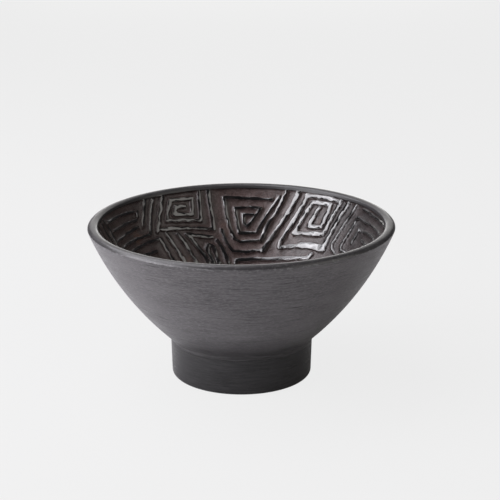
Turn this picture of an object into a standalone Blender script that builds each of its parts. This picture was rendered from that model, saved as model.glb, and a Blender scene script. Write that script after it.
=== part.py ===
"""A round wooden bowl on a turned foot: two wooden pieces, joined by a glued tenon.

The bowl is turned with a stub tenon under its floor. The foot is turned from a second
block, with a mortise in its top for that tenon and a shallow hollow in its underside.
Metres, +Z up. The origin is the centre of the foot's underside, on the turning axis.
"""

import math

import bpy

# Driving dimensions, in metres.
RIM_RADIUS = 0.1000  # the rim at its widest
RIM_HEIGHT = 0.1040
CROWN_RADIUS = 0.0040  # the rim's domed top
CROWN_INSET = 0.0036  # how far in from the widest point the dome is highest
EDGE_ROUNDING = 0.0010  # the rim's outer edge, under the dome
WALL_THICKNESS = 0.0065
WALL_CURVE = 0.2070  # the radius that the outer wall bends to, from neck to rim
NECK_RADIUS = 0.0469
NECK_HEIGHT = 0.0262  # where the wall's curve would meet the neck as a sharp corner
NECK_FILLET = 0.0055
FLOOR_HEIGHT = 0.0330  # the bowl's inside at its lowest
FLOOR_CURVE = 0.0600  # the radius that blends the floor into the inner wall

JOINT_HEIGHT = 0.0240  # the glue line between bowl and foot
GLUE_GAP = 0.0003
TENON_RADIUS = 0.0300
TENON_LENGTH = 0.0050
TENON_CHAMFER = 0.0006

FOOT_BASE_RADIUS = 0.0463
FOOT_ROUNDING = 0.0022
HOLLOW_RADIUS = 0.0380  # the hollow's mouth in the foot's underside
HOLLOW_DEPTH = 0.0090
HOLLOW_DRAFT = 0.0012  # how far its wall leans in over that depth
HOLLOW_FILLET = 0.0040

TURNING_STEPS = 72
MERGE_DISTANCE = 0.00001

BOWL_COLOR = (0.060, 0.052, 0.050)
FOOT_COLOR = (0.042, 0.039, 0.038)
BOWL_ROUGHNESS = 0.38
FOOT_ROUGHNESS = 0.46


def clear_scene():
    for obj in list(bpy.data.objects):
        bpy.data.objects.remove(obj, do_unlink=True)


def arc(centre, radius, start, end, segments):
    """Points of a circle's arc in the profile plane, both ends included; angles in radians."""
    turns = [start + (end - start) * i / segments for i in range(segments + 1)]
    return [
        (centre[0] + radius * math.cos(turn), centre[1] + radius * math.sin(turn))
        for turn in turns
    ]


def angle_to(centre, point):
    return math.atan2(point[1] - centre[1], point[0] - centre[0])


def centre_between(near, near_radius, far, far_radius):
    """The point at those distances from two points, on the left of the way from near to far."""
    along_x, along_z = far[0] - near[0], far[1] - near[1]
    apart = math.hypot(along_x, along_z)
    along_x, along_z = along_x / apart, along_z / apart
    forward = (near_radius**2 - far_radius**2 + apart**2) / (2 * apart)
    aside = math.sqrt(near_radius**2 - forward**2)
    return (
        near[0] + forward * along_x - aside * along_z,
        near[1] + forward * along_z + aside * along_x,
    )


def bowl_profile():
    """The bowl's half section: floor, inner wall, rim, outer wall, neck and tenon, in that order."""
    crown_centre = (RIM_RADIUS - CROWN_INSET, RIM_HEIGHT - CROWN_RADIUS)
    edge_in = CROWN_INSET - EDGE_ROUNDING
    edge_up = math.sqrt((CROWN_RADIUS - EDGE_ROUNDING) ** 2 - edge_in**2)
    edge_centre = (crown_centre[0] + edge_in, crown_centre[1] + edge_up)
    neck_corner = (NECK_RADIUS, NECK_HEIGHT)
    wall_centre = centre_between(
        neck_corner, WALL_CURVE, edge_centre, WALL_CURVE - EDGE_ROUNDING
    )

    inner_curve = WALL_CURVE - WALL_THICKNESS
    floor_centre_z = FLOOR_HEIGHT + FLOOR_CURVE
    floor_reach = math.sqrt(
        (inner_curve - FLOOR_CURVE) ** 2 - (wall_centre[1] - floor_centre_z) ** 2
    )
    floor_centre = (wall_centre[0] + floor_reach, floor_centre_z)
    floor_end = angle_to(wall_centre, floor_centre)
    crease = centre_between(wall_centre, inner_curve, crown_centre, CROWN_RADIUS)

    floor = [(0.0, FLOOR_HEIGHT)]
    floor += arc(floor_centre, FLOOR_CURVE, -math.pi / 2, floor_end, 8)
    crease_turn = angle_to(wall_centre, crease)
    inner_wall = arc(wall_centre, inner_curve, floor_end, crease_turn, 10)[1:]

    crown_end = angle_to(crown_centre, edge_centre)
    wall_start = angle_to(wall_centre, edge_centre)
    crown = arc(crown_centre, CROWN_RADIUS, angle_to(crown_centre, crease), crown_end, 6)[1:]
    edge = arc(edge_centre, EDGE_ROUNDING, crown_end, wall_start, 3)[1:]

    fillet_x = NECK_RADIUS + NECK_FILLET
    fillet_drop = math.sqrt(
        (WALL_CURVE + NECK_FILLET) ** 2 - (fillet_x - wall_centre[0]) ** 2
    )
    fillet_centre = (fillet_x, wall_centre[1] - fillet_drop)
    wall_end = angle_to(wall_centre, fillet_centre)
    outer_wall = arc(wall_centre, WALL_CURVE, wall_start, wall_end, 12)[1:]
    fillet_start = wall_end + math.pi
    neck = arc(fillet_centre, NECK_FILLET, fillet_start, math.pi, 4)[1:]

    underside = JOINT_HEIGHT + GLUE_GAP / 2
    tenon_end = underside - TENON_LENGTH
    tenon = [
        (NECK_RADIUS, underside),
        (TENON_RADIUS, underside),
        (TENON_RADIUS, tenon_end + TENON_CHAMFER),
        (TENON_RADIUS - TENON_CHAMFER, tenon_end),
        (0.0, tenon_end),
    ]
    return floor + inner_wall + crown + edge + outer_wall + neck + tenon


def foot_profile():
    """The foot's half section: mortise, top, side, base ring and hollow, in that order."""
    top = JOINT_HEIGHT - GLUE_GAP / 2
    mortise_floor = JOINT_HEIGHT + GLUE_GAP / 2 - TENON_LENGTH - GLUE_GAP
    mortise_radius = TENON_RADIUS + GLUE_GAP
    mortise = [(0.0, mortise_floor), (mortise_radius, mortise_floor), (mortise_radius, top)]

    side = [(NECK_RADIUS, top)]
    base_centre = (FOOT_BASE_RADIUS - FOOT_ROUNDING, FOOT_ROUNDING)
    base_edge = arc(base_centre, FOOT_ROUNDING, 0.0, -math.pi / 2, 5)

    hollow_end = HOLLOW_RADIUS - HOLLOW_DRAFT
    hollow_centre = (hollow_end - HOLLOW_FILLET, HOLLOW_DEPTH - HOLLOW_FILLET)
    hollow = [(HOLLOW_RADIUS, 0.0)]
    hollow += arc(hollow_centre, HOLLOW_FILLET, 0.0, math.pi / 2, 4)
    hollow += [(0.0, HOLLOW_DEPTH)]
    return mortise + side + base_edge + hollow


def wood(name, color, roughness):
    material = bpy.data.materials.new(name)
    material.use_nodes = True
    shader = material.node_tree.nodes["Principled BSDF"]
    shader.inputs["Base Color"].default_value = (*color, 1.0)
    shader.inputs["Roughness"].default_value = roughness
    shader.inputs["Metallic"].default_value = 0.0
    material.diffuse_color = (*color, 1.0)
    return material


def turned(name, profile, material, collection):
    """A solid of revolution about Z, from a half section that starts and ends on the axis."""
    mesh = bpy.data.meshes.new(name)
    edges = [(i, i + 1) for i in range(len(profile) - 1)]
    mesh.from_pydata([(x, 0.0, z) for x, z in profile], edges, [])
    obj = bpy.data.objects.new(name, mesh)
    collection.objects.link(obj)
    screw = obj.modifiers.new("Turning", "SCREW")
    screw.axis = "Z"
    screw.angle = 2 * math.pi
    screw.steps = TURNING_STEPS
    screw.render_steps = TURNING_STEPS
    screw.use_merge_vertices = True
    screw.merge_threshold = MERGE_DISTANCE
    screw.use_smooth_shade = True
    mesh.materials.append(material)
    return obj


def main():
    clear_scene()
    collection = bpy.data.collections.new("carved_bowl")
    bpy.context.scene.collection.children.link(collection)
    bowl_wood = wood("bowl_wood", BOWL_COLOR, BOWL_ROUGHNESS)
    foot_wood = wood("foot_wood", FOOT_COLOR, FOOT_ROUGHNESS)
    turned("bowl", bowl_profile(), bowl_wood, collection)
    turned("foot", foot_profile(), foot_wood, collection)


main()
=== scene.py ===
"""A carved wooden bowl on a turned foot: the finished look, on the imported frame.

The bowl's inside is carved all over. Raised lines keep the turned surface and its polish, and run in
square spirals, slanted stripes, chevrons and bars. The ground between them is cut away and left rough.

Lengths are in metres. On the carved inside a place is a bearing, in degrees anticlockwise from +X seen
from above, and a depth, in millimetres down the wall from the crease at the rim's inner edge.
"""

import math

import bpy
import numpy as np
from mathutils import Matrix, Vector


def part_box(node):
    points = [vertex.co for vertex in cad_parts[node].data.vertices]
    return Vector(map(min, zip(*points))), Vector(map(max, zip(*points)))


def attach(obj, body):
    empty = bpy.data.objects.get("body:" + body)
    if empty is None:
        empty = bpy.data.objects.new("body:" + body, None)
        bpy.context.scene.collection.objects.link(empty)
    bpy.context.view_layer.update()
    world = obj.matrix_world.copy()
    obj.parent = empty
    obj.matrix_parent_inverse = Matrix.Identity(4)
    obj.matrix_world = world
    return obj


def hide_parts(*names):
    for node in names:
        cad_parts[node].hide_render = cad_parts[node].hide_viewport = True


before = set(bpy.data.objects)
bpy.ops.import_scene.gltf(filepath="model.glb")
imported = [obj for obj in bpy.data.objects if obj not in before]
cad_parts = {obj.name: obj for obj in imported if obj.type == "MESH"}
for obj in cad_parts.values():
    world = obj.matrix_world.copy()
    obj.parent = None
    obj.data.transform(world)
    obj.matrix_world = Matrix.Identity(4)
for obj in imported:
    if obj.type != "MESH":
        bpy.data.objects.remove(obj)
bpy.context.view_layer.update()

MM = 0.001
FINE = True

# The turned shape.
BOWL_LO, BOWL_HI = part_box("bowl")
FOOT_LO, FOOT_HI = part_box("foot")
RIM_RADIUS = BOWL_HI.x
RIM_HEIGHT = BOWL_HI.z
NECK_RADIUS = FOOT_HI.x
CROWN_RADIUS = 0.0040
CROWN_TOP = RIM_RADIUS - 0.0036
EDGE_ROUNDING = 0.0010
WALL_THICKNESS = 0.0065
WALL_CURVE = 0.2070
NECK_HEIGHT = 0.0262
NECK_FILLET = 0.0055
FLOOR_HEIGHT = 0.0330
FLOOR_CURVE = 0.0600
TENON_RADIUS = 0.0300
TENON_LENGTH = 0.0050
TENON_CHAMFER = 0.0006
TENON_END = BOWL_LO.z
JOINT_HEIGHT = (TENON_END + TENON_LENGTH + FOOT_HI.z) / 2
GLUE_HALF = 0.00003  # half of what is left open at the glue line
MORTISE_GAP = 0.0003
END_RING = 0.0120  # a ring that keeps the faces even on the tenon's end and the mortise's floor
HOLD = 0.0004  # rings about this close to a corner keep its shading crisp
FOOT_BASE_RADIUS = 0.0463
FOOT_ROUNDING = 0.0022
HOLLOW_RADIUS = 0.0380
HOLLOW_DEPTH = 0.0090
HOLLOW_DRAFT = 0.0012
HOLLOW_FILLET = 0.0040
HOLLOW_CHAMFER = (0.0006, 0.0005)  # at the hollow's mouth: across and up

# The bowl leans a little: how much lower its rim is on the left than on the right.
LEAN = 0.0008

# The carving.
CUT_DEPTH = 0.0013
RIM_BAND = 1.7  # how far down from the crease the uncut edge reaches, in millimetres
KEPT_BAND = 1.6  # thinning the mesh leaves this much below the crease alone, in millimetres
FACE_LIMIT = 192000
# Where the ground is lighter, above 0, or darker, by bearing: bearing, spread in degrees, amount.
GROUND_TONE = [
    (85, 20, 0.5), (57, 13, 0.08), (135, 25, 0.15), (15, 28, -0.42), (-60, 30, 0.3), (-125, 22, 0.35)
]


def arc(centre, radius, start, end, segments):
    turns = [start + (end - start) * i / segments for i in range(segments + 1)]
    return [
        (centre[0] + radius * math.cos(turn), centre[1] + radius * math.sin(turn))
        for turn in turns
    ]


def angle_to(centre, point):
    return math.atan2(point[1] - centre[1], point[0] - centre[0])


def centre_between(near, near_radius, far, far_radius):
    along_x, along_z = far[0] - near[0], far[1] - near[1]
    apart = math.hypot(along_x, along_z)
    along_x, along_z = along_x / apart, along_z / apart
    forward = (near_radius**2 - far_radius**2 + apart**2) / (2 * apart)
    aside = math.sqrt(near_radius**2 - forward**2)
    return (
        near[0] + forward * along_x - aside * along_z,
        near[1] + forward * along_z + aside * along_x,
    )


# Centres and lengths of the profile: the rim's crown and outer edge, wall, floor curve, flat floor.
CROWN_CENTRE = (CROWN_TOP, RIM_HEIGHT - CROWN_RADIUS)
EDGE_CENTRE_X = RIM_RADIUS - EDGE_ROUNDING
EDGE_CENTRE = (
    EDGE_CENTRE_X,
    CROWN_CENTRE[1]
    + math.sqrt((CROWN_RADIUS - EDGE_ROUNDING) ** 2 - (EDGE_CENTRE_X - CROWN_TOP) ** 2),
)
WALL_CENTRE = centre_between(
    (NECK_RADIUS, NECK_HEIGHT), WALL_CURVE, EDGE_CENTRE, WALL_CURVE - EDGE_ROUNDING
)
INNER_CURVE = WALL_CURVE - WALL_THICKNESS
FLOOR_CENTRE_Z = FLOOR_HEIGHT + FLOOR_CURVE
FLOOR_CENTRE = (
    WALL_CENTRE[0]
    + math.sqrt(
        (INNER_CURVE - FLOOR_CURVE) ** 2 - (WALL_CENTRE[1] - FLOOR_CENTRE_Z) ** 2
    ),
    FLOOR_CENTRE_Z,
)
FLOOR_END = angle_to(WALL_CENTRE, FLOOR_CENTRE)
CREASE = centre_between(WALL_CENTRE, INNER_CURVE, CROWN_CENTRE, CROWN_RADIUS)
CREASE_TURN = angle_to(WALL_CENTRE, CREASE)
WALL_LENGTH = (CREASE_TURN - FLOOR_END) * INNER_CURVE
CURVE_LENGTH = (FLOOR_END + math.pi / 2) * FLOOR_CURVE
INSIDE_LENGTH = WALL_LENGTH + CURVE_LENGTH + FLOOR_CENTRE[0]


def inside(depth):
    """Radius, height and the surface normal's two parts, at a depth in metres along the inside."""
    if depth <= WALL_LENGTH:
        turn = CREASE_TURN - depth / INNER_CURVE
        centre, radius = WALL_CENTRE, INNER_CURVE
    elif depth <= WALL_LENGTH + CURVE_LENGTH:
        turn = FLOOR_END - (depth - WALL_LENGTH) / FLOOR_CURVE
        centre, radius = FLOOR_CENTRE, FLOOR_CURVE
    else:
        return max(0.0, INSIDE_LENGTH - depth), FLOOR_HEIGHT, 0.0, 1.0
    c, s = math.cos(turn), math.sin(turn)
    return centre[0] + radius * c, centre[1] + radius * s, -c, -s


# ---------------------------------------------------------------- the carved lines

LINES = []  # half the width of its top and how far its sides slope out, in millimetres, and its points


def cut_round(half, flank, *lines):
    """Leaves these lines standing; the ground round them is cut away."""
    LINES.extend((half, flank, line) for line in lines)


# Back left: bars, and the steep lines that close them off.
cut_round(
    0.9, 0.7,
    [(167, 6.5), (152, 7), (145, 8)],
    [(165, 14), (152, 13.8), (145, 14)],
    [(167, 21), (152, 19.8), (146, 19)],
    [(167, 27), (150, 26), (141, 26.5)],
    [(166, 33.5), (150, 31.8), (135.5, 31)],
    [(163, 40), (151, 38.5), (141, 39)],
    [(142.8, 8.5), (143.6, 12)],
    [(171, 3), (168.5, 12), (170, 40)],
    [(175, 3), (173, 20), (175.5, 44)],
)
# Slanted stripes.
cut_round(
    1.25, 0.8,
    [(136.5, 2), (139, 10), (142.3, 18.5)],
    [(131.5, 1), (136, 14), (140, 26)],
    [(126.7, 2), (129, 10), (134.8, 25.7)],
)
# The first square spiral.
cut_round(
    1.05, 0.7,
    [(109.3, 2.5), (110.3, 23.5), (127.8, 20), (123.3, 6.2), (112.9, 7), (114, 18.3), (123.2, 16.6)]
    + [(121.4, 11.4), (117, 11.8)],
    [(105, 1.5), (104.5, 30.5), (119, 27.5), (132.5, 25.2)],
)
# The second, with a line that follows round its outside.
cut_round(
    0.95, 0.5,
    [(80, 39.5), (91, 40.7), (94, 38.5), (96.2, 30), (97.6, 18), (98.3, 8), (88, 9), (76.5, 9.2)],
    [(73, 7), (77, 17), (80.3, 27), (82.7, 34), (91.5, 34.3), (92.3, 26), (93.4, 15.8), (81, 15.6)]
    + [(84.2, 23), (87.5, 29.5), (89.2, 27), (89.6, 20.6), (84.8, 20.6)],
    [(78.2, 46.5), (88, 48.3), (95.3, 47.3), (97.8, 43), (99.4, 37), (100.5, 31.5)],
)
cut_round(1.1, 0.5, [(70, 1.5), (71.7, 10), (74, 19), (77, 27), (80, 39.5)])
cut_round(1.45, 0.6, [(64.5, 1.5), (66.5, 13), (69.5, 23), (74, 36), (78.2, 46.5)])
# The third, on the right.
cut_round(
    1.3, 0.55,
    [(60.3, 4), (61.2, 10), (63.6, 20), (67, 32), (69.3, 40), (69.3, 43.5), (60, 40.7), (54, 38.9)],
    [(46, 38.6), (42.7, 38), (42.4, 30), (41.5, 22), (39.8, 12), (37.8, 3.5)],
    [(60.3, 4), (52, 3.6), (42.3, 3.8), (43.6, 10), (45.4, 20), (46.3, 28.8), (62.7, 31.8), (60, 20)]
    + [(56.8, 8), (47.4, 7.4), (48, 15), (48.9, 24.2), (56, 25.2), (54.3, 17), (52.7, 11)],
)
cut_round(2.1, 0.6, [(57, 39.8), (54, 38.9), (46, 38.6), (43, 38.4)])
# Chevrons and bars at the far right.
cut_round(
    0.8, 0.5,
    [(32.6, 3), (34.5, 12), (36.2, 20), (38.2, 33.5), (36.5, 36.8), (33, 38.8)],
    [(20, 11.2), (25, 10.3), (28.6, 10), (30, 20), (31.6, 31.5), (30, 35.5), (26, 35)],
    [(22, 17.8), (24, 17.5), (24.8, 28)],
    [(27, 3.5), (17, 4.3), (10, 3.8), (-4, 3)],
    [(20, 10.5), (11, 10), (-4, 9.5)],
    [(19, 17), (14, 15.8), (-4, 16)],
)
# The lower back.
cut_round(
    1.15, 0.75,
    [(106, 36.3), (112, 34.5), (119.4, 32), (116.3, 38), (112, 50), (110.5, 56)],
    [(124, 31), (121.2, 40), (118.3, 54)],
    [(130.5, 29), (128, 40), (125.5, 52)],
    [(135, 32), (134, 40), (132.5, 50)],
    [(107.5, 56), (110, 44), (108.5, 41.6), (106.3, 43.3), (104.2, 56)],
    [(103.6, 39), (101, 45), (98.5, 56)],
    [(93.8, 56), (93.4, 54), (88, 54), (72, 52.3), (60, 50), (50, 47.6), (48.6, 44)],
)


def spiral(corners, gap, turns):
    """A square spiral inwards from four corners in walking order, its lines gap millimetres apart."""
    (ta, da), (tb, db), (tc, dc), (td, dd) = corners
    middle = inside((da + db + dc + dd) / 4 * MM)[0] / MM
    wide = math.radians(abs(tb - ta) + abs(tc - td)) / 2 * middle
    tall = abs(dd - da + dc - db) / 2
    step_u, step_v = gap / wide, gap / tall
    left, right, top, bottom = 0.0, 1.0, 0.0, 1.0
    walk = [(left, top)]
    for _ in range(turns):
        if right - left < step_u or bottom - top < step_v:
            break
        walk += [(right, top), (right, bottom), (left, bottom)]
        top += step_v
        walk += [(left, top)]
        left, right, bottom = left + step_u, right - step_u, bottom - step_v
    placed = []
    for u, v in walk:
        u, v = min(max(u, 0.0), 1.0), min(max(v, 0.0), 1.0)
        bearing = (ta * (1 - u) + tb * u) * (1 - v) + (td * (1 - u) + tc * u) * v
        depth = (da * (1 - u) + db * u) * (1 - v) + (dd * (1 - u) + dc * u) * v
        placed.append((bearing, depth))
    return placed


def stripes(first, last, top, bottom, lean, count):
    """Slanted lines side by side, each leaning by that many degrees on its way down."""
    middle = (top + bottom) / 2
    lines = []
    for i in range(count):
        bearing = first + (last - first) * i / (count - 1)
        lines.append([(bearing, top), (bearing + lean * 0.45, middle), (bearing + lean, bottom)])
    return lines


def bars(first, last, depths, sag):
    """Level lines one under another, each sagging by that many millimetres in its middle."""
    middle = (first + last) / 2
    return [[(first, d), (middle, d + sag), (last, d - sag)] for d in depths]


# The front, from the right end of the back round to its left end.
cut_round(
    1.0, 0.6,
    *bars(-4, 17, (23, 29.5, 36, 42.5), 0.4),
    [(36, 45), (20, 48.5), (2, 49), (-14, 47)],
    *stripes(-10, -24, 2, 24, -5, 4),
    *stripes(-14, -30, 30, 44, 3, 4),
)
cut_round(
    1.25, 0.65,
    spiral([(-34, 4), (-60, 4), (-62, 34), (-37, 37)], 5.6, 3),
    [(-30, 2), (-33, 41), (-50, 43), (-67, 40), (-64.5, 2)],
    spiral([(-98, 8), (-72, 7), (-75, 39), (-95, 41)], 5.8, 3),
    [(-69, 2), (-71.5, 46), (-86, 48), (-100, 47), (-103, 2)],
)
cut_round(
    1.0, 0.6,
    *stripes(-107, -121, 2, 30, 4, 4),
    *bars(-102, -122, (37, 43.5, 50), 0.6),
    spiral([(-126, 4), (-149, 4.5), (-146, 30), (-124, 27)], 5.2, 3),
    [(-122.5, 34), (-136, 36), (-153, 35), (-154, 2)],
    [(-159, 2), (-158, 14), (-159.5, 30), (-163, 36)],
    [(-164, 2), (-163, 12), (-164.5, 24), (-168, 42)],
    *stripes(-170, -179, 2, 44, -2, 2),
    *stripes(-128, -160, 41, 55, 3, 6),
    *stripes(-35, -62, 48, 56, 2, 5),
    *stripes(141, 165, 46, 55, -3, 4),
    *stripes(15, 45, 53, 57, 4, 4),
)

# The lower wall, which turns in towards the floor.
for number, swing in enumerate((1, -1.5, 1.5, -1, 1, -1)):
    start = 20 + 60 * number
    corners = [(start, 61 + swing), (start + 43, 61 - swing), (start + 41, 87), (start + 2, 87)]
    cut_round(
        1.1, 0.65,
        spiral(corners, 5.2, 3),
        *stripes(start + 48, start + 55, 60, 87, swing, 2),
    )

# The floor's design, in plan, in millimetres from the axis.
FLOOR_EDGE = 91.0  # the depth at which it starts
FLOOR_RING = 32.5
FLOOR_SQUARE = 18.5  # half the width of the square spiral
FLOOR_GAP = 5.4


def floor_design():
    """A ring, a square spiral in its middle, and two bars on each side of the square."""
    turns = [math.radians(a) for a in range(0, 361, 6)]
    ring = [(FLOOR_RING * math.cos(turn), FLOOR_RING * math.sin(turn)) for turn in turns]
    half = FLOOR_SQUARE
    square = [(-half, -half)]
    while half > 3:
        square += [(half, -half), (half, half), (-half, half), (-half, -half + FLOOR_GAP)]
        half -= FLOOR_GAP
    lines = [(1.1, 0.65, ring), (1.1, 0.65, square)]
    for side in range(4):
        c, s = math.cos(side * math.pi / 2), math.sin(side * math.pi / 2)
        for reach, out in ((12, 23.5), (5, 28)):
            ends = [(-reach, out), (reach, out)]
            lines.append((0.9, 0.65, [(x * c - y * s, x * s + y * c) for x, y in ends]))
    return lines


WANDER_STEP = 4.0  # a drawn line is bent about this often, in millimetres
WANDER = 0.12  # how far out a bend is, in millimetres
WIDTH_SPREAD = 0.09  # how far a width factor is from 1
rng = np.random.default_rng(20)


def hand_drawn(points, to_x):
    """The line in short steps that wander a little, with a width factor at each point."""
    drawn, widths = [], []
    for (xa, ya), (xb, yb) in zip(points, points[1:]):
        scale = to_x((ya + yb) / 2)
        length = math.hypot((xb - xa) * scale, yb - ya)
        steps = max(1, round(length / WANDER_STEP))
        for i in range(steps):
            t = i / steps
            jitter = rng.normal(0, WANDER, 2) * (1.0 if i else 0.5)
            drawn.append((xa + (xb - xa) * t + jitter[0] / scale, ya + (yb - ya) * t + jitter[1]))
            widths.append(1 + rng.normal(0, WIDTH_SPREAD))
    drawn.append(points[-1])
    widths.append(1 + rng.normal(0, WIDTH_SPREAD))
    return drawn, widths


def degrees_to_mm(depth):
    """How many millimetres a degree of bearing is, at a depth."""
    return math.radians(1) * max(inside(depth * MM)[0] / MM, 5.0)


# ---------------------------------------------------------------- the carved height field

COLUMNS = 2048 if FINE else 384
PITCH = 0.00034 if FINE else 0.0016
REACH = 5.0  # how far from a line its distance is still measured, in millimetres


def columns_at(radius):
    """How many vertices a ring of the inside has. It halves where they would crowd."""
    count = COLUMNS
    while count > 48 and 2 * math.pi * radius / count < PITCH * 0.62:
        count //= 2
    return count


def smooth_noise(bearing, depth, cell, seed):
    """Value noise on the inside, from -1 to 1. A cell is that many millimetres wide at the rim."""
    around = max(8, round(2 * math.pi * RIM_RADIUS / MM / cell))
    down = math.ceil(INSIDE_LENGTH / MM / cell) + 2
    grid = np.random.default_rng(seed).uniform(-1, 1, (down, around))
    x = (bearing / 360.0 % 1.0) * around
    y = depth / cell
    i, j = np.floor(x).astype(int), np.floor(y).astype(int)
    fx, fy = x - i, y - j
    fx, fy = fx * fx * (3 - 2 * fx), fy * fy * (3 - 2 * fy)
    i0, i1 = i % around, (i + 1) % around
    j0, j1 = np.clip(j, 0, down - 1), np.clip(j + 1, 0, down - 1)
    upper = grid[j0, i0] * (1 - fx) + grid[j0, i1] * fx
    lower = grid[j1, i0] * (1 - fx) + grid[j1, i1] * fx
    return upper * (1 - fy) + lower * fy


class Rows:
    """The inside's rings, from the crease down to the floor's centre, and their vertices."""

    def __init__(self):
        rows = [0.0, 0.0005, 0.0011]
        while rows[-1] < INSIDE_LENGTH - PITCH * 1.5:
            rows.append(rows[-1] + PITCH)
        self.depths = np.array(rows)
        places = [inside(d) for d in rows]
        self.radius = np.array([p[0] for p in places])
        self.height = np.array([p[1] for p in places])
        self.normal = np.array([p[2:] for p in places])
        self.counts = [columns_at(r) for r in self.radius]
        self.starts = np.concatenate([[0], np.cumsum(self.counts)[:-1]])
        self.bearing = np.concatenate([np.arange(n) * 360.0 / n for n in self.counts])
        self.depth = np.repeat(self.depths / MM, self.counts)
        self.r = np.repeat(self.radius / MM, self.counts)
        self.away = np.full(len(self.bearing), 99.0)
        self.slope = np.full(len(self.bearing), 99.0)


def keep(rows, where, gap, half, flank, widths, t):
    """Takes a line's distances in millimetres into the inside's record of what is nearest."""
    beyond = gap - half - (widths[0] * (1 - t) + widths[1] * t - 1) * (half + flank / 2)
    rows.away[where] = np.minimum(rows.away[where], beyond)
    rows.slope[where] = np.minimum(rows.slope[where], beyond / flank)


def measure(rows, lines):
    """For each vertex of the inside, how far it lies beyond the top of the nearest line."""
    for half, flank, points in lines:
        drawn, widths = hand_drawn(points, degrees_to_mm)
        for k in range(len(drawn) - 1):
            (ta, da), (tb, db) = drawn[k], drawn[k + 1]
            first = np.searchsorted(rows.depths / MM, min(da, db) - REACH)
            last = np.searchsorted(rows.depths / MM, max(da, db) + REACH)
            for row in range(first, last):
                count, start = rows.counts[row], rows.starts[row]
                scale = math.radians(1) * max(rows.radius[row] / MM, 1.0)
                low = math.floor((min(ta, tb) - REACH / scale) * count / 360.0)
                high = math.ceil((max(ta, tb) + REACH / scale) * count / 360.0)
                index = np.arange(low, high + 1)
                dx = (index * 360.0 / count - ta) * scale
                dy = rows.depths[row] / MM - da
                ex, ey = (tb - ta) * scale, db - da
                t = np.clip((dx * ex + dy * ey) / (ex * ex + ey * ey + 1e-9), 0, 1)
                gap = np.hypot(dx - t * ex, dy - t * ey)
                keep(rows, start + index % count, gap, half, flank, widths[k : k + 2], t)


def measure_floor(rows, lines):
    """The same for the floor's lines, which are given in plan."""
    on_floor = np.nonzero(rows.depth > FLOOR_EDGE - 6)[0]
    x = rows.r[on_floor] * np.cos(np.radians(rows.bearing[on_floor]))
    y = rows.r[on_floor] * np.sin(np.radians(rows.bearing[on_floor]))
    for half, flank, points in lines:
        drawn, widths = hand_drawn(points, lambda _: 1.0)
        for k in range(len(drawn) - 1):
            (xa, ya), (xb, yb) = drawn[k], drawn[k + 1]
            ex, ey = xb - xa, yb - ya
            t = np.clip(((x - xa) * ex + (y - ya) * ey) / (ex * ex + ey * ey + 1e-9), 0, 1)
            gap = np.hypot(x - xa - t * ex, y - ya - t * ey)
            keep(rows, on_floor, gap, half, flank, widths[k : k + 2], t)


def smoothstep(x):
    x = np.clip(x, 0, 1)
    return x * x * (3 - 2 * x)


def carve(rows):
    """For each vertex of the inside: its sinking in metres, its polish, its rim share, its ground tone.
    """
    wander = smooth_noise(rows.bearing, rows.depth, 9.0, 31) * 0.25
    ragged = 0.065 * smooth_noise(rows.bearing, rows.depth, 2.6, 35)
    ragged = ragged + 0.03 * smooth_noise(rows.bearing, rows.depth, 1.1, 36)
    rim = rows.depth - RIM_BAND - wander
    away = np.minimum(rows.away, rim) + ragged
    slope = np.minimum(rows.slope, rim / 0.6) + ragged / 0.65
    cut = smoothstep(slope)
    crown = 0.02 * np.clip(1 + away, 0, 1) ** 2 * (rows.depth > RIM_BAND)
    bed = 0.20 * (1 - np.exp(-np.clip(away - 0.6, 0, 9) / 1.1))
    uneven = 0.16 * smooth_noise(rows.bearing, rows.depth, 5.0, 33)
    chatter = 0.03 * smooth_noise(rows.bearing, rows.depth + rows.bearing * 0.35, 1.3, 34)
    lumps = 0.035 * smooth_noise(rows.bearing, rows.depth, 3.2, 37) * (rows.depth > RIM_BAND)
    sink = CUT_DEPTH / MM * cut * (1 + uneven) + crown + lumps + (bed + chatter) * cut
    edge = 1 - smoothstep((rows.depth - RIM_BAND + 0.3) / 0.8)

    # The ground is lightest, and reddest, at the back, and darkest on the right.
    ground_tone = np.full(len(rows.bearing), 0.45)
    for bearing, spread, amount in GROUND_TONE:
        turn = (rows.bearing - bearing + 180) % 360 - 180
        ground_tone += amount * np.exp(-((turn / spread) ** 2))
    ground_tone += 0.16 * smooth_noise(rows.bearing, rows.depth, 14.0, 38)
    return sink * MM, 1 - cut, edge, np.clip(ground_tone, 0, 1)


def lowered(x, z):
    """How far the lean brings a point of the bowl down."""
    share = np.clip((z - NECK_HEIGHT) / (RIM_HEIGHT - NECK_HEIGHT), 0, 1)
    return -LEAN / 2 * x / RIM_RADIUS * share


def join_rings(starts, counts):
    """The faces between rings, where one ring may have twice as many vertices as the next."""
    faces = []
    for k in range(len(counts) - 1):
        a, b, n, m = starts[k], starts[k + 1], counts[k], counts[k + 1]
        if n == 1:
            faces += [(a, b + i, b + (i + 1) % m) for i in range(m)]
        elif m == 1:
            faces += [(a + i, b, a + (i + 1) % n) for i in range(n)]
        elif n == m:
            faces += [(a + i, b + i, b + (i + 1) % n, a + (i + 1) % n) for i in range(n)]
        elif m == 2 * n:
            faces += [
                (a + i, b + 2 * i, b + 2 * i + 1, b + (2 * i + 2) % m, a + (i + 1) % n)
                for i in range(n)
            ]
        else:
            faces += [
                (a + 2 * i, b + i, b + (i + 1) % m, a + (2 * i + 2) % n, a + 2 * i + 1)
                for i in range(m)
            ]
    return faces


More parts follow.
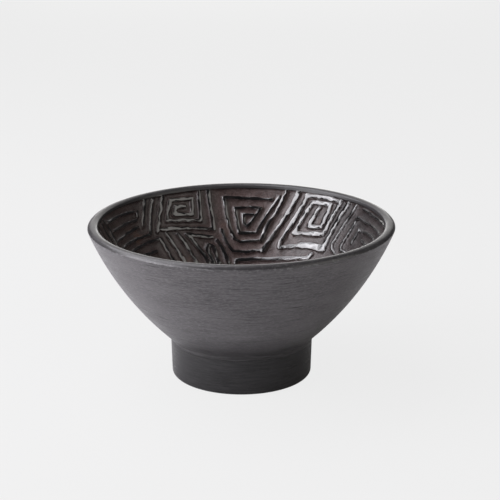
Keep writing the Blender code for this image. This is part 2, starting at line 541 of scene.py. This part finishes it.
def rim_profile():
    """The half section outside the crease: crown, outer edge, wall with neck, underside with tenon."""
    crease_turn = angle_to(CROWN_CENTRE, CREASE)
    crown_end = angle_to(CROWN_CENTRE, EDGE_CENTRE)
    wall_start = angle_to(WALL_CENTRE, EDGE_CENTRE)
    crown = arc(CROWN_CENTRE, CROWN_RADIUS, crease_turn, crown_end, 18)[1:]
    edge = arc(EDGE_CENTRE, EDGE_ROUNDING, crown_end, wall_start, 8)[1:]
    fillet_x = NECK_RADIUS + NECK_FILLET
    fillet_drop = math.sqrt((WALL_CURVE + NECK_FILLET) ** 2 - (fillet_x - WALL_CENTRE[0]) ** 2)
    fillet_centre = (fillet_x, WALL_CENTRE[1] - fillet_drop)
    wall_end = angle_to(WALL_CENTRE, fillet_centre)
    outer_wall = arc(WALL_CENTRE, WALL_CURVE, wall_start, wall_end, 64)[1:]
    neck = arc(fillet_centre, NECK_FILLET, wall_end + math.pi, math.pi, 8)[1:]
    under = JOINT_HEIGHT + GLUE_HALF
    neck += [(NECK_RADIUS, under + HOLD), (NECK_RADIUS, under + HOLD / 10)]
    tenon = [(NECK_RADIUS, under), (TENON_RADIUS, under), (TENON_RADIUS, TENON_END + TENON_CHAMFER)]
    tenon += [(TENON_RADIUS - TENON_CHAMFER, TENON_END), (END_RING, TENON_END)]
    return crown, edge, outer_wall + neck, tenon


def ring_of(radius, height, count):
    """A level ring of vertices round the axis."""
    turn = np.arange(count) * 2 * math.pi / count
    return np.stack([radius * np.cos(turn), radius * np.sin(turn), np.full(count, height)], axis=1)


def new_object(name, verts, faces, materials):
    mesh = bpy.data.meshes.new(name)
    mesh.from_pydata([tuple(v) for v in verts], [], faces)
    for material in materials:
        mesh.materials.append(material)
    mesh.polygons.foreach_set("use_smooth", [True] * len(mesh.polygons))
    obj = bpy.data.objects.new(name, mesh)
    bpy.context.scene.collection.objects.link(obj)
    return obj


def outside_rings():
    """Rings from the crease to the tenon's end: place, vertex count, rim share, wear and painted
    highlight.
    """
    crown, edge, wall, tenon = rim_profile()
    half, quarter = COLUMNS // 2, max(96, COLUMNS // 4)
    # The crease rings carry a painted highlight; the later crown rings and the outer edge carry wear.
    rings = [(crown[0], COLUMNS, 1.0, 2.0), (crown[1], half, 1.0, 1.6)]
    rings += [(p, half, 1.0, 0.0) for p in crown[2:10]]
    rings += [(p, half, 1.0, 0.4) for p in crown[10:]] + [(p, half, 0.35, 1.0) for p in edge]
    rim_rings = len(rings)
    rings += [(p, quarter, 0.0, 0.0) for p in wall + tenon] + [((0.0, TENON_END), 1, 0.0, 0.0)]
    return rings, rim_rings


def thin_out(obj, part):
    """Thins those vertices of a mesh until the whole is within the face limit."""
    mesh = obj.data
    triangles = sum(len(p.vertices) - 2 for p in mesh.polygons)
    if triangles <= FACE_LIMIT:
        return
    group = obj.vertex_groups.new(name="carved")
    group.add(part, 1.0, "REPLACE")
    thin = obj.modifiers.new("Thin", "DECIMATE")
    thin.decimate_type = "COLLAPSE"
    thin.ratio = FACE_LIMIT / triangles
    thin.vertex_group = group.name
    flat = obj.modifiers.new("Flat", "WEIGHTED_NORMAL")
    flat.mode = "FACE_AREA"
    graph = bpy.context.evaluated_depsgraph_get()
    made = bpy.data.meshes.new_from_object(obj.evaluated_get(graph), depsgraph=graph)
    obj.modifiers.clear()
    obj.vertex_groups.clear()
    obj.data = made
    made.name = obj.name


def give_woods(mesh, first_rim, first_wall):
    """Gives each face its wood by its last vertex: inside, rim or outer wall."""
    corners = np.empty(len(mesh.loops), np.int32)
    mesh.loops.foreach_get("vertex_index", corners)
    loop_start = np.empty(len(mesh.polygons), np.int32)
    mesh.polygons.foreach_get("loop_start", loop_start)
    last = np.maximum.reduceat(corners, loop_start)
    woods = (last >= first_rim).astype(np.int32) + (last >= first_wall).astype(np.int32)
    mesh.polygons.foreach_set("material_index", woods)


def build_bowl(inner_wood, rim_wood, outer_wood):
    """The whole bowl as one closed mesh of rings, with what the materials need to know as attributes."""
    rows = Rows()
    measure(rows, LINES)
    measure_floor(rows, floor_design())
    sink, polish, edge, ground_tone = carve(rows)

    angle = np.radians(rows.bearing)
    normal = np.repeat(rows.normal, rows.counts, axis=0)
    radius = np.repeat(rows.radius, rows.counts) - normal[:, 0] * sink
    height = np.repeat(rows.height, rows.counts) - normal[:, 1] * sink
    inner = np.stack([radius * np.cos(angle), radius * np.sin(angle), height], axis=1)
    inner_marks = np.stack([polish, edge, ground_tone, np.zeros(len(ground_tone))], axis=1)

    # Rings in order: the floor's centre, the inside upwards, the rim, the outside downwards, the axis.
    verts, counts = [np.array([[0.0, 0.0, FLOOR_HEIGHT - CUT_DEPTH]])], [1]
    marks = [np.array([[0.0, 0.0, 0.5, 0.0]])]  # polish, rim, ground tone, wear and painted highlight
    depths = [[INSIDE_LENGTH / MM]]
    for k in reversed(range(len(rows.counts))):
        part = slice(rows.starts[k], rows.starts[k] + rows.counts[k])
        verts.append(inner[part])
        marks.append(inner_marks[part])
        counts.append(rows.counts[k])
        depths.append(np.full(rows.counts[k], rows.depths[k] / MM))
    inside_rings = len(counts)

    rings, rim_rings = outside_rings()
    for (r, z), count, rim, wear_and_glint in rings:
        rubbed_and_glint = np.full(count, wear_and_glint)
        if wear_and_glint > 1:  # the two rings at the crease carry a painted highlight, strongest at the front
            rubbed_and_glint *= 0.5 - 0.5 * np.sin(np.arange(count) * 2 * math.pi / count)
        even = [np.ones(count), np.full(count, rim), np.full(count, 0.5)]
        verts.append(ring_of(r, z, count))
        marks.append(np.stack([*even, rubbed_and_glint], axis=1))
        counts.append(count)

    starts = [0] + [int(n) for n in np.cumsum(counts)[:-1]]
    points = np.concatenate(verts)
    points[:, 2] -= lowered(points[:, 0], points[:, 2])
    woods = [inner_wood, rim_wood, outer_wood]
    obj = new_object("bowl_carved", points, join_rings(starts, counts), woods)
    give_woods(obj.data, starts[inside_rings], starts[inside_rings + rim_rings])

    marks = np.concatenate(marks)
    for column, name in enumerate(("polish", "edge", "ground_tone", "wear_and_glint")):
        layer = obj.data.attributes.new(name, "FLOAT", "POINT")
        layer.data.foreach_set("value", marks[:, column].astype(np.float32))
    carved = np.nonzero(np.concatenate(depths) > KEPT_BAND)[0]
    thin_out(obj, [int(i) for i in carved])
    return obj


def build_foot(material):
    """The foot as one closed mesh: mortise, top, side, base ring and hollow."""
    top = JOINT_HEIGHT - GLUE_HALF
    mortise_floor = TENON_END - MORTISE_GAP
    mortise_radius = TENON_RADIUS + MORTISE_GAP
    base_centre = (FOOT_BASE_RADIUS - FOOT_ROUNDING, FOOT_ROUNDING)
    side = [
        (NECK_RADIUS + (FOOT_BASE_RADIUS - NECK_RADIUS) * t, top + (FOOT_ROUNDING - top) * t)
        for t in [0, 0.002, 0.02] + [i / 16 for i in range(1, 16)]
    ]
    edge = arc(base_centre, FOOT_ROUNDING, 0.0, -math.pi / 2, 8)
    hollow_end = HOLLOW_RADIUS - HOLLOW_DRAFT
    hollow_centre = (hollow_end - HOLLOW_FILLET, HOLLOW_DEPTH - HOLLOW_FILLET)
    hollow = [(HOLLOW_RADIUS + HOLLOW_CHAMFER[0], 0.0), (HOLLOW_RADIUS, HOLLOW_CHAMFER[1])]
    hollow += arc(hollow_centre, HOLLOW_FILLET, 0.0, math.pi / 2, 8)
    hollow += [(hollow_centre[0] * t, HOLLOW_DEPTH) for t in (0.75, 0.5, 0.25)]
    profile = [(END_RING, mortise_floor), (mortise_radius, mortise_floor), (mortise_radius, top)]
    profile += [(NECK_RADIUS - HOLD / 2, top)] + side + edge + hollow
    count = 256 if FINE else 96
    verts, counts = [np.array([[0.0, 0.0, mortise_floor]])], [1]
    for r, z in profile:
        verts.append(ring_of(r, z, count))
        counts.append(count)
    verts.append(np.array([[0.0, 0.0, HOLLOW_DEPTH]]))
    counts.append(1)
    starts = [0] + [int(n) for n in np.cumsum(counts)[:-1]]
    return new_object("foot_turned", np.concatenate(verts), join_rings(starts, counts), [material])


# ---------------------------------------------------------------- materials


class Nodes:
    """Short calls for a material's nodes."""

    def __init__(self, name):
        self.material = bpy.data.materials.new(name)
        self.material.use_nodes = True
        self.tree = self.material.node_tree
        self.shader = self.tree.nodes["Principled BSDF"]
        self.place = self.tree.nodes.new("ShaderNodeTexCoord").outputs["Object"]

    def link(self, source, target):
        self.tree.links.new(source, target)

    def stretched(self, x, y, z, turn=(0, 0, 0)):
        node = self.tree.nodes.new("ShaderNodeMapping")
        node.inputs["Scale"].default_value = (x, y, z)
        node.inputs["Rotation"].default_value = turn
        self.link(self.place, node.inputs["Vector"])
        return node.outputs["Vector"]

    def noise(self, vector, scale, detail=4.0, rough=0.55, distortion=0.0):
        node = self.tree.nodes.new("ShaderNodeTexNoise")
        node.inputs["Scale"].default_value = scale
        node.inputs["Detail"].default_value = detail
        node.inputs["Roughness"].default_value = rough
        node.inputs["Distortion"].default_value = distortion
        self.link(vector, node.inputs["Vector"])
        return node.outputs["Fac"]

    def attribute(self, name):
        node = self.tree.nodes.new("ShaderNodeAttribute")
        node.attribute_name = name
        return node.outputs["Fac"]

    def remap(self, value, low, high, to_low=0.0, to_high=1.0):
        node = self.tree.nodes.new("ShaderNodeMapRange")
        node.inputs["From Min"].default_value = low
        node.inputs["From Max"].default_value = high
        node.inputs["To Min"].default_value = to_low
        node.inputs["To Max"].default_value = to_high
        self.link(value, node.inputs["Value"])
        return node.outputs["Result"]

    def math(self, kind, a, b):
        node = self.tree.nodes.new("ShaderNodeMath")
        node.operation = kind
        for socket, value in ((node.inputs[0], a), (node.inputs[1], b)):
            if isinstance(value, (int, float)):
                socket.default_value = value
            else:
                self.link(value, socket)
        return node.outputs[0]

    def mix(self, factor, a, b):
        node = self.tree.nodes.new("ShaderNodeMix")
        node.data_type = "RGBA"
        sockets = [s for s in node.inputs if s.type == "RGBA"]
        for socket, value in zip(sockets, (a, b)):
            if isinstance(value, tuple):
                socket.default_value = (*value, 1.0)
            else:
                self.link(value, socket)
        self.link(factor, node.inputs[0])
        return [s for s in node.outputs if s.type == "RGBA"][0]

    def bump(self, height, strength, distance, under=None):
        node = self.tree.nodes.new("ShaderNodeBump")
        node.inputs["Strength"].default_value = strength
        node.inputs["Distance"].default_value = distance
        self.link(height, node.inputs["Height"])
        if under is not None:
            self.link(under, node.inputs["Normal"])
        return node.outputs["Normal"]


RIM_COLOR = (0.020, 0.019, 0.0195)


def scaled(shade, factor):
    return tuple(c * factor for c in shade)


def carved_wood():
    """The inside: glossy black lines on rougher, reddish black ground, as the attributes place them."""
    n = Nodes("carved_black_wood")
    polish = n.attribute("polish")
    top = n.remap(polish, 0.6, 0.98)
    edge = n.attribute("edge")
    cloud = n.noise(n.place, 130.0, 4.0, 0.65)
    fine = n.noise(n.place, 700.0, 3.0, 0.6)
    grain = n.noise(n.place, 1500.0, 2.0, 0.6)
    cuts = n.noise(n.stretched(330, 1000, 620, (0.4, 0.7, 0.5)), 1.0, 3.0, 0.6, 0.4)
    # Dark and light ground tones, mixed by the ground tone attribute.
    thick = n.mix(n.remap(cloud, 0.35, 0.65), (0.005, 0.0042, 0.0042), (0.020, 0.0165, 0.0165))
    thin = n.mix(n.remap(cloud, 0.35, 0.65), (0.042, 0.025, 0.022), (0.098, 0.070, 0.066))
    ground = n.mix(n.attribute("ground_tone"), thick, thin)
    ground = n.mix(n.remap(cuts, 0.54, 0.72, 0.0, 0.4), ground, (0.11, 0.092, 0.091))
    ground = n.mix(n.remap(fine, 0.56, 0.72, 0.0, 0.6), ground, (0.008, 0.006, 0.006))
    ground = n.mix(n.remap(grain, 0.54, 0.70, 0.0, 0.7), ground, (0.012, 0.008, 0.008))
    ground = n.mix(n.remap(grain, 0.46, 0.34, 0.0, 0.35), ground, (0.15, 0.118, 0.112))
    rare = n.noise(n.place, 38.0, 2.0, 0.5)
    ground = n.mix(n.remap(rare, 0.66, 0.74, 0.0, 0.4), ground, (0.12, 0.055, 0.028))
    line = n.mix(n.remap(fine, 0.3, 0.8), (0.0015, 0.0013, 0.0013), (0.0055, 0.0048, 0.0048))
    color = n.mix(top, ground, line)
    n.link(n.mix(edge, color, RIM_COLOR), n.shader.inputs["Base Color"])
    rough_ground = n.remap(cuts, 0.3, 0.75, 0.27, 0.43)
    rough_line = n.remap(cloud, 0.3, 0.7, 0.13, 0.26)
    rough = n.math("ADD", n.math("MULTIPLY", top, rough_line),
                   n.math("MULTIPLY", n.math("SUBTRACT", 1.0, top), rough_ground))
    n.link(n.math("MAXIMUM", rough, n.math("MULTIPLY", edge, 0.42)), n.shader.inputs["Roughness"])
    coat = n.math("MULTIPLY", top, n.math("SUBTRACT", 1.0, edge))
    n.link(coat, n.shader.inputs["Coat Weight"])
    n.shader.inputs["Coat Roughness"].default_value = 0.13
    n.shader.inputs["Specular IOR Level"].default_value = 0.36
    tool = n.math("MULTIPLY", cuts, n.math("SUBTRACT", 1.0, top))
    normal = n.bump(tool, 1.0, 0.00040)
    normal = n.bump(fine, 0.35, 0.00010, normal)
    normal = n.bump(n.math("MULTIPLY", grain, n.math("SUBTRACT", 1.0, top)), 0.6, 0.00010, normal)
    n.link(normal, n.shader.inputs["Normal"])
    return n.material


def turned_wood(name, shade, rough, specular, gloss=0.0):
    """Turned and blackened wood, with fine lines round it. It darkens towards the foot with painted
    shade.

    The rim is smoother and darker, as "edge" says. Its edges are paler: worn along the outer edge, and a
    painted highlight along the inner edge, strongest at the front.
    """
    n = Nodes(name)
    n.shader.inputs["Specular IOR Level"].default_value = specular
    n.shader.inputs["Coat Weight"].default_value = gloss
    n.shader.inputs["Coat Roughness"].default_value = 0.16
    split = n.tree.nodes.new("ShaderNodeSeparateXYZ")
    n.link(n.place, split.inputs[0])
    edge, wear_and_glint = n.attribute("edge"), n.attribute("wear_and_glint")
    streaks = n.noise(n.stretched(80, 80, 1250), 1.0, 3.0, 0.6)
    hair = n.noise(n.stretched(420, 420, 2400), 1.0, 2.0, 0.6)
    broad = n.noise(n.stretched(26, 26, 90), 1.0, 3.0, 0.6)
    dashes = n.noise(n.stretched(24, 24, 1300, (0.0, 0.0, 0.3)), 1.0, 3.0, 0.6, 0.2)
    worn = scaled(shade, 1.95)
    color = n.mix(n.remap(broad, 0.3, 0.7), scaled(shade, 0.60), scaled(shade, 1.15))
    color = n.mix(n.remap(streaks, 0.42, 0.70, 0.0, 0.6), color, worn)
    color = n.mix(n.remap(hair, 0.46, 0.70, 0.0, 0.75), color, worn)
    color = n.mix(n.remap(dashes, 0.635, 0.68, 0.0, 0.85), color, scaled(shade, 0.2))
    # Painted shade: the lower wall, the neck and the whole foot are mixed towards a dark streaked tone.
    low = n.remap(split.outputs["Z"], 0.027, 0.047, 0.72, 0.0)
    painted_shade = n.mix(n.remap(streaks, 0.44, 0.66), scaled(shade, 0.03), scaled(shade, 0.5))
    color = n.mix(low, color, painted_shade)
    color = n.mix(n.math("MULTIPLY", edge, 0.85), color, RIM_COLOR)
    # Paler marks: wear on the rim's outer edge, and a painted highlight along its inner edge.
    rub_and_glint = n.noise(n.stretched(420, 420, 900), 1.0, 3.0, 0.6)
    rub_and_glint = n.math("ADD", rub_and_glint, n.math("MULTIPLY", wear_and_glint, 0.12))
    rub_and_glint = n.math("MULTIPLY", n.remap(rub_and_glint, 0.58, 0.72), wear_and_glint)
    color = n.mix(n.math("MULTIPLY", rub_and_glint, 0.4), color, (0.20, 0.195, 0.20))
    n.link(color, n.shader.inputs["Base Color"])
    rough_wood = n.remap(streaks, 0.3, 0.72, rough - 0.10, rough + 0.14)
    smoother = n.math("SUBTRACT", n.remap(streaks, 0.3, 0.7, 0.30, 0.42), rough_wood)
    n.link(n.math("ADD", rough_wood, n.math("MULTIPLY", edge, smoother)), n.shader.inputs["Roughness"])
    normal = n.bump(streaks, 0.45, 0.00022)
    normal = n.bump(hair, 0.4, 0.00010, normal)
    normal = n.bump(dashes, 0.3, 0.00016, normal)
    n.link(normal, n.shader.inputs["Normal"])
    return n.material


# ---------------------------------------------------------------- the object

inner_wood = carved_wood()
outer_wood = turned_wood("black_wood", (0.070, 0.0664, 0.0689), rough=0.40, specular=0.32)
rim_wood = turned_wood("rim_black_wood", (0.062, 0.059, 0.061), rough=0.42, specular=0.32, gloss=0.2)
foot_wood = turned_wood("foot_black_wood", (0.027, 0.0257, 0.027), rough=0.36, specular=0.40)

bowl = build_bowl(inner_wood, rim_wood, outer_wood)
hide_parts("bowl")
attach(bowl, "root")

foot = build_foot(foot_wood)
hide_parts("foot")
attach(foot, "root")

# ---------------------------------------------------------------- floor, light and camera

PALE = 0.863
COOL = (0.968, 0.952, 1.0)
WARM = (1.0, 0.96, 0.91)
NEUTRAL = (1.0, 0.985, 0.965)
AIM_HEIGHT = 0.06
FLOOR_Z = -0.0002
FLOOR_OPENING = 0.043
FLOOR_REACH = 8.0


def pale_paint(name, strength, share, albedo):
    """A pale matt surface, seen from above only. The camera sees it mostly as a flat light."""
    material = bpy.data.materials.new(name)
    material.use_nodes = True
    tree = material.node_tree
    tree.nodes.clear()
    out = tree.nodes.new("ShaderNodeOutputMaterial")
    glow = tree.nodes.new("ShaderNodeEmission")
    glow.inputs["Color"].default_value = (1, 1, 1, 1)
    glow.inputs["Strength"].default_value = strength
    matt = tree.nodes.new("ShaderNodeBsdfDiffuse")
    matt.inputs["Color"].default_value = (albedo, albedo, albedo, 1)
    both = tree.nodes.new("ShaderNodeMixShader")
    path = tree.nodes.new("ShaderNodeLightPath")
    part = tree.nodes.new("ShaderNodeMath")
    part.operation = "MULTIPLY"
    part.inputs[1].default_value = share
    tree.links.new(path.outputs["Is Camera Ray"], part.inputs[0])
    tree.links.new(part.outputs[0], both.inputs[0])
    tree.links.new(matt.outputs[0], both.inputs[1])
    tree.links.new(glow.outputs[0], both.inputs[2])
    clear = tree.nodes.new("ShaderNodeBsdfTransparent")
    side = tree.nodes.new("ShaderNodeNewGeometry")
    one_sided = tree.nodes.new("ShaderNodeMixShader")
    tree.links.new(side.outputs["Backfacing"], one_sided.inputs[0])
    tree.links.new(both.outputs[0], one_sided.inputs[1])
    tree.links.new(clear.outputs[0], one_sided.inputs[2])
    tree.links.new(one_sided.outputs[0], out.inputs["Surface"])
    return material


def ground(name, material):
    """A level round floor. The foot hides an opening in it, which lets light reach the underside."""
    steps = 64
    turns = [2 * math.pi * i / steps for i in range(steps)]
    corners = [
        (r * math.cos(t), r * math.sin(t), FLOOR_Z) for r in (FLOOR_OPENING, FLOOR_REACH) for t in turns
    ]
    around = [(i, (i + 1) % steps) for i in range(steps)]
    mesh = bpy.data.meshes.new(name)
    mesh.from_pydata(corners, [], [(i, i + steps, j + steps, j) for i, j in around])
    mesh.materials.append(material)
    obj = bpy.data.objects.new(name, mesh)
    bpy.context.scene.collection.objects.link(obj)


ground("floor", pale_paint("pale_floor", PALE, share=0.94, albedo=0.65))


def softbox(name, azimuth, elevation, distance, width, height, radiance, color=(1, 1, 1)):
    """A soft light that faces the bowl. Azimuth is its bearing, radiance what a mirror would show."""
    a, e = math.radians(azimuth), math.radians(elevation)
    light = bpy.data.lights.new(name, "AREA")
    light.shape = "RECTANGLE"
    light.size, light.size_y = width, height
    light.energy = radiance * math.pi * width * height
    light.color = color
    obj = bpy.data.objects.new(name, light)
    obj.location = (
        distance * math.cos(e) * math.cos(a),
        distance * math.cos(e) * math.sin(a),
        AIM_HEIGHT + distance * math.sin(e),
    )
    obj.rotation_euler = (math.pi / 2 - e, 0, a + math.pi / 2)
    obj.visible_camera = False
    bpy.context.scene.collection.objects.link(obj)


# Azimuth and elevation in degrees, then distance, width, height and radiance.
softbox("key", 198, 32, 1.0, 0.78, 0.54, 8.8, COOL)
softbox("top", 155, 58, 1.1, 1.0, 1.0, 4.2, COOL)
softbox("fill", 335, 32, 1.2, 1.1, 0.75, 1.8, WARM)
softbox("side", 222, 8, 1.1, 0.8, 0.4, 4.2, COOL)
softbox("under", 300, -55, 1.1, 0.9, 0.9, 5.0)
softbox("backdrop", 90, 24, 1.9, 1.7, 1.3, 0.8, NEUTRAL)
softbox("skyline", 90, 5, 1.9, 0.9, 0.4, 2.2, NEUTRAL)


def pale_room():
    """The world: pale behind the bowl, and a dim room to everything but the camera."""
    world = bpy.data.worlds.new("studio")
    bpy.context.scene.world = world
    world.use_nodes = True
    tree = world.node_tree
    tree.nodes.clear()
    out = tree.nodes.new("ShaderNodeOutputWorld")
    seen = tree.nodes.new("ShaderNodeBackground")
    seen.inputs["Color"].default_value = (PALE, PALE, PALE, 1)
    room = tree.nodes.new("ShaderNodeBackground")
    room.inputs["Color"].default_value = (0.062, 0.062, 0.066, 1)
    path = tree.nodes.new("ShaderNodeLightPath")
    pick = tree.nodes.new("ShaderNodeMixShader")
    tree.links.new(path.outputs["Is Camera Ray"], pick.inputs[0])
    tree.links.new(room.outputs[0], pick.inputs[1])
    tree.links.new(seen.outputs[0], pick.inputs[2])
    tree.links.new(pick.outputs[0], out.inputs["Surface"])


CAMERA_PLACE = (0.0056, -0.94342, 0.37285)
CAMERA_PITCH = 0.297413  # how far it looks down, in radians


def set_camera():
    """The photo's camera: fitted to the outline, then adjusted."""
    camera = bpy.data.cameras.new("camera")
    camera.lens = 108.35
    camera.sensor_width = 36
    camera_object = bpy.data.objects.new("camera", camera)
    camera_object.location = CAMERA_PLACE
    camera_object.rotation_euler = (math.pi / 2 - CAMERA_PITCH, 0, 0)
    bpy.context.scene.collection.objects.link(camera_object)
    bpy.context.scene.camera = camera_object
    bpy.context.scene.view_settings.view_transform = "Standard"


pale_room()
set_camera()

bpy.context.view_layer.update()
